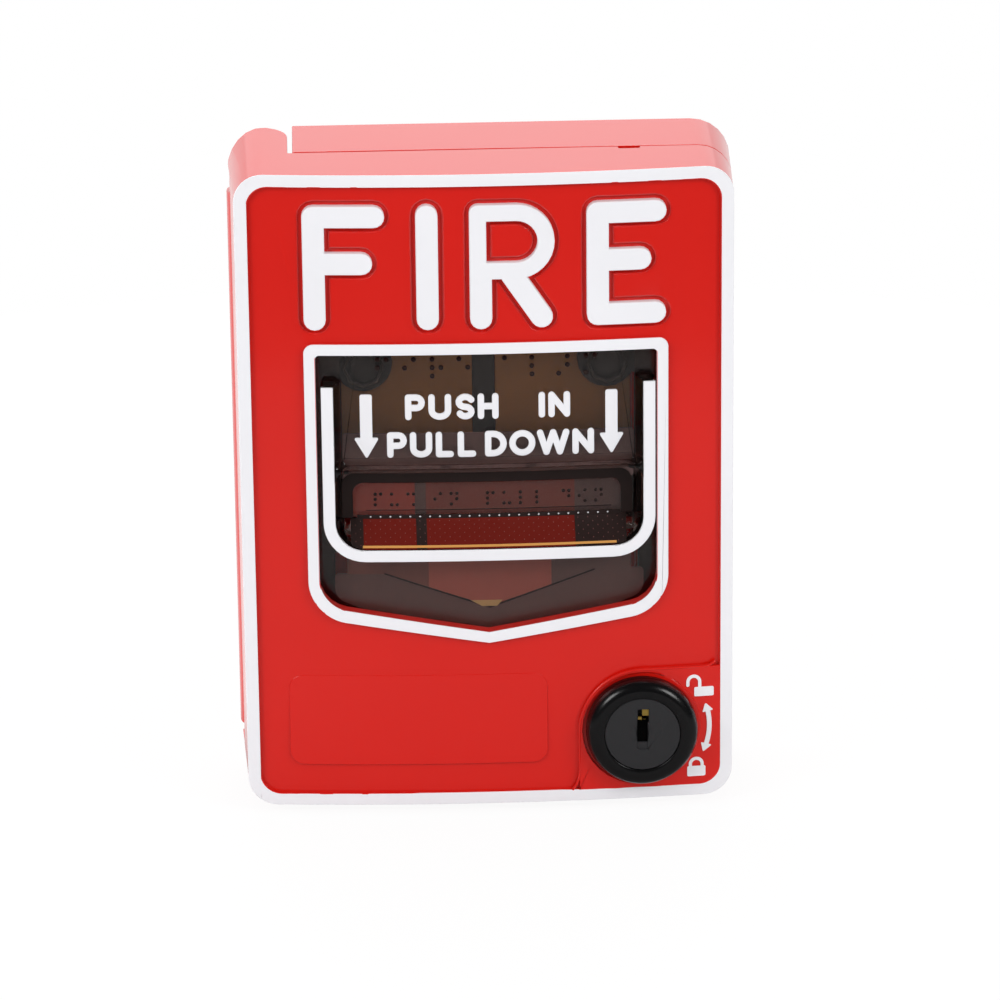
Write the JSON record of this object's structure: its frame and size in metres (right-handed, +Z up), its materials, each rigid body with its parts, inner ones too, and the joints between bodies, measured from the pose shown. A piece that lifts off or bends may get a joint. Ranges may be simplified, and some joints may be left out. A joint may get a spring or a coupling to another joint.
{
  "type": "manual call point",
  "caption": "Wall-mounted dual-action manual call point: hinged red front with key lock, smoked push-in pull-down handle, status band, and a back shell with terminal module.",
  "frame": {"origin": "centre of the flat rear face that lies on the wall", "axes": "+Z up, +X to the right seen from the front, +Y into the wall, so the front faces -Y"},
  "size_m": [0.1047, 0.038, 0.1396],
  "materials": {
    "red_cover": "moulded red polycarbonate, satin, with white printed beads",
    "red_shell": "moulded red polycarbonate, satin",
    "smoked_handle": "smoked translucent polycarbonate",
    "dark_plastic": "dark grey moulded nylon",
    "black_gloss": "glossy black",
    "plated_steel": "zinc plated",
    "yellow_band": "yellow moulded plastic",
    "board_green": "solder mask",
    "white_plastic": "white moulded plastic",
    "led_red": "clear red epoxy",
    "brass": "stamped brass"
  },
  "bodies": {
    "shell": {"back_shell": "red_shell", "lock_strike": "plated_steel", "strike_screw": "plated_steel", "upper_hinge_pin": "plated_steel", "lower_hinge_pin": "plated_steel", "circuit_board": "board_green", "module_cover": "dark_plastic", "module_screw_1": "plated_steel", "module_screw_2": "plated_steel", "module_screw_3": "plated_steel", "module_screw_4": "plated_steel", "address_switch_tens": "white_plastic", "address_switch_units": "white_plastic", "status_led": "led_red", "terminal_block": "dark_plastic", "terminal_screw_1": "plated_steel", "terminal_screw_2": "plated_steel", "terminal_screw_3": "plated_steel", "terminal_screw_4": "plated_steel", "terminal_screw_5": "plated_steel", "terminal_screw_6": "plated_steel", "microswitch_body": "black_gloss"},
    "dial_tens": {"address_dial_tens": "white_plastic"},
    "dial_units": {"address_dial_units": "white_plastic"},
    "plunger": {"switch_plunger": "white_plastic"},
    "door": {"front_cover": "red_cover", "handle_retainer": "red_shell", "status_band": "yellow_band", "latch_pin": "plated_steel", "retainer_screw_1": "plated_steel", "retainer_screw_2": "plated_steel", "retainer_screw_3": "plated_steel", "retainer_screw_4": "plated_steel", "lock_bezel": "black_gloss", "lock_barrel": "plated_steel", "lock_nut": "plated_steel", "return_spring_left": "plated_steel", "return_spring_right": "plated_steel"},
    "slide": {"handle_slide": "dark_plastic", "pivot_pin": "plated_steel", "push_spring_left": "plated_steel", "push_spring_right": "plated_steel"},
    "handle": {"pull_handle": "smoked_handle"},
    "pawl": {"latch_pawl": "dark_plastic"},
    "lock_core": {"lock_plug": "black_gloss", "lock_wafer_1": "brass", "lock_wafer_2": "brass", "lock_wafer_3": "brass", "lock_wafer_4": "brass", "lock_cam": "plated_steel", "cam_screw": "plated_steel"}
  },
  "joints": [
    {"name": "door_open", "type": "hinge", "parent": "shell", "child": "door", "pos_m": [-0.0467, -0.0074, 0], "axis": [0, 0, -1], "range_deg": [0, 95]},
    {"name": "pull_down", "type": "slide", "parent": "door", "child": "slide", "axis": [0, 0, -1], "range_m": [0, 0.0085], "stiffness_N_per_m": 400, "deforming": ["return_spring_left", "return_spring_right"]},
    {"name": "push_in", "type": "hinge", "parent": "slide", "child": "handle", "pos_m": [0, -0.0265, -0.036], "axis": [-1, 0, 0], "range_deg": [0, 2.6], "stiffness_Nm_per_rad": 2, "deforming": ["push_spring_left", "push_spring_right"]},
    {"name": "pawl_swing", "type": "hinge", "parent": "door", "child": "pawl", "pos_m": [0, -0.0199, 0.0066], "axis": [1, 0, 0], "range_deg": [0, 4], "stiffness_Nm_per_rad": 0.05},
    {"name": "key_turn", "type": "hinge", "parent": "door", "child": "lock_core", "pos_m": [0.0316, -0.03, -0.0525], "axis": [0, -1, 0], "range_deg": [0, 90]},
    {"name": "switch_press", "type": "slide", "parent": "shell", "child": "plunger", "axis": [0, 1, 0], "range_m": [0, 0.0017]},
    {"name": "tens_turn", "type": "hinge", "parent": "shell", "child": "dial_tens", "pos_m": [-0.021, -0.015, 0.014], "axis": [0, 1, 0], "continuous": true},
    {"name": "units_turn", "type": "hinge", "parent": "shell", "child": "dial_units", "pos_m": [-0.007, -0.015, 0.014], "axis": [0, 1, 0], "continuous": true}
  ],
  "couplings": [
    {"joint": "switch_press", "follows": "pull_down", "ratio": 0.2}
  ]
}
